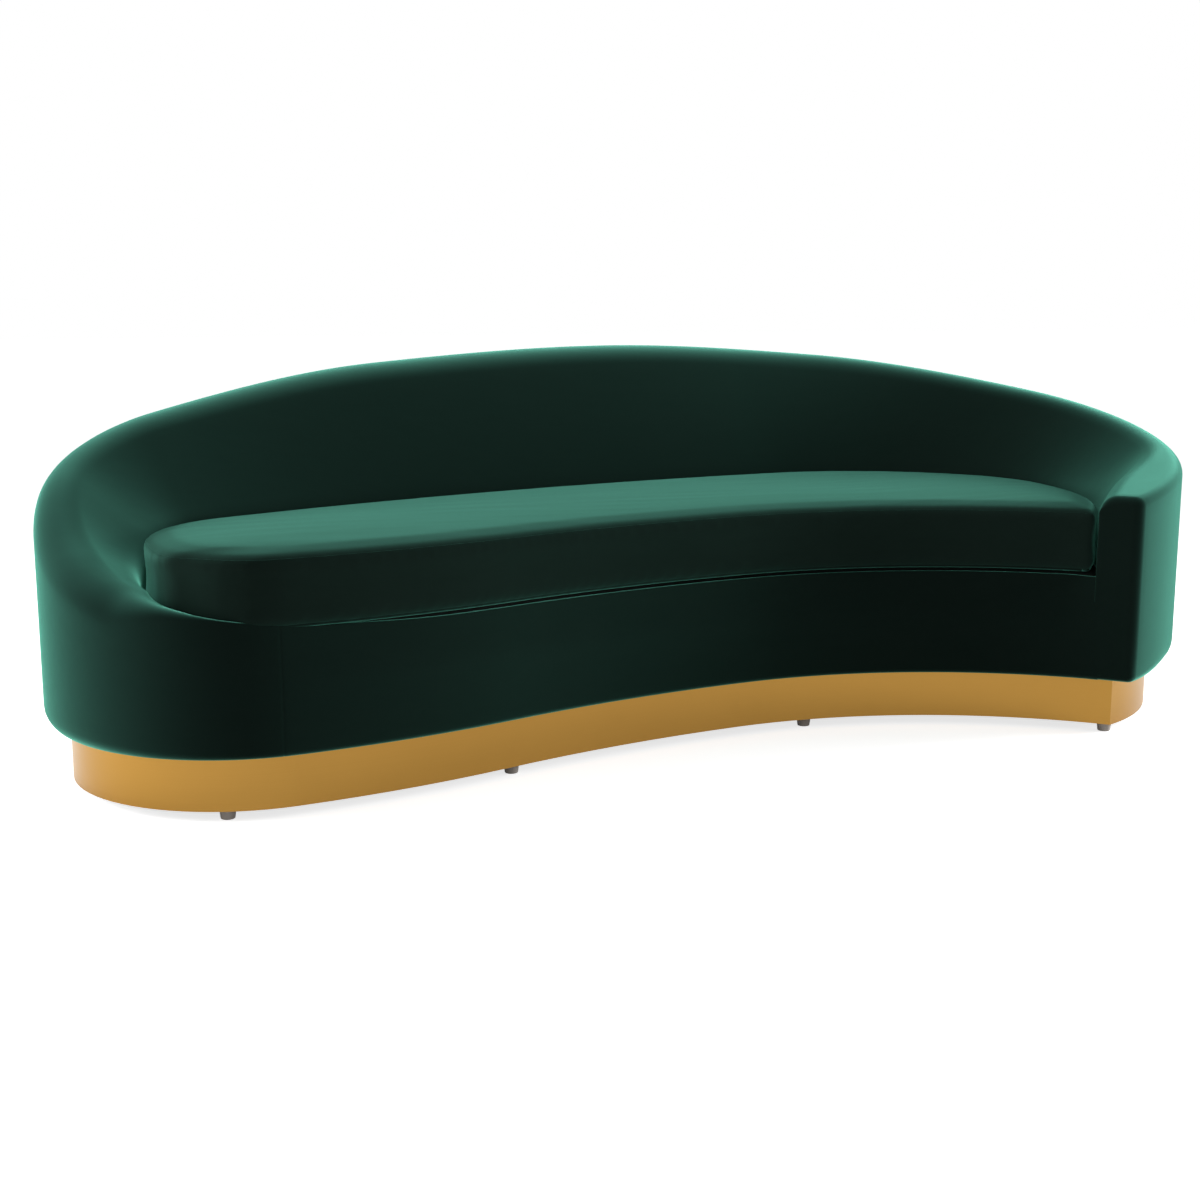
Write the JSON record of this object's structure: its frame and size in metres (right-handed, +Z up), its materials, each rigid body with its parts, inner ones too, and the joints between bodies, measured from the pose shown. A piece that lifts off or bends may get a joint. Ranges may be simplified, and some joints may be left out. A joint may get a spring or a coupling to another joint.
{
  "type": "curved sofa",
  "caption": "Curved velvet sofa with a kidney-shaped plan, a sweeping back that runs down into one end, a loose seat cushion and a metal-clad plinth.",
  "frame": {"origin": "on the floor, under the middle of the plan's box", "axes": "+X towards the low arm, along the length; +Y towards the back; +Z up"},
  "size_m": [2.3294, 1.0811, 0.743],
  "materials": {
    "velvet": "matte",
    "gold_metal": "satin",
    "glide_grey": "matte",
    "bright_steel": "satin",
    "foam": "matte",
    "wadding": "matte",
    "deck_cloth": "matte",
    "dust_cloth": "matte",
    "zip_tape": "matte",
    "plywood": "matte"
  },
  "bodies": {
    "frame": {"arm_foam": "foam", "arm_front_board": "plywood", "back_foam_left": "foam", "back_foam_middle": "foam", "back_foam_right": "foam", "back_rib_1": "plywood", "back_rib_10": "plywood", "back_rib_2": "plywood", "back_rib_3": "plywood", "back_rib_4": "plywood", "back_rib_5": "plywood", "back_rib_6": "plywood", "back_rib_7": "plywood", "back_rib_8": "plywood", "back_rib_9": "plywood", "deck_cover": "deck_cloth", "deck_pad": "foam", "dust_cover": "dust_cloth", "end_foam": "foam", "end_shelf": "plywood", "foot_1": "glide_grey", "foot_2": "glide_grey", "foot_3": "glide_grey", "foot_4": "glide_grey", "foot_5": "glide_grey", "foot_6": "glide_grey", "foot_7": "glide_grey", "foot_8": "glide_grey", "foot_screws": "bright_steel", "front_cover": "velvet", "front_edge_roll": "foam", "front_foam": "foam", "front_rail": "plywood", "inside_cover": "velvet", "outer_panel": "plywood", "outside_cover": "velvet", "outside_wadding": "wadding", "plinth_bolts": "bright_steel", "plinth_floor": "plywood", "plinth_ribs": "plywood", "plinth_skirt": "gold_metal", "plinth_top": "plywood", "plinth_wall": "plywood", "rear_rail": "plywood", "seat_board": "plywood", "seat_rib_1": "plywood", "seat_rib_2": "plywood", "seat_rib_3": "plywood", "seat_rib_4": "plywood", "seat_rib_5": "plywood", "spring_clips": "bright_steel", "springs": "bright_steel", "top_rail": "plywood"},
    "cushion": {"cushion_top_panel": "velvet", "cushion_bottom_panel": "velvet", "cushion_boxing": "velvet", "cushion_core": "foam", "zip_tape": "zip_tape"},
    "zip_slider": {"zip_slider": "bright_steel"}
  },
  "joints": [
    {"name": "cushion_lift", "type": "slide", "parent": "frame", "child": "cushion", "axis": [0, 0, 1], "range_m": [0, 0.43]},
    {"name": "zip_run", "type": "hinge", "parent": "cushion", "child": "zip_slider", "pos_m": [0.84132, -3.56061, 0.387], "axis": [0, 0, 1], "range_deg": [0, 16]}
  ]
}
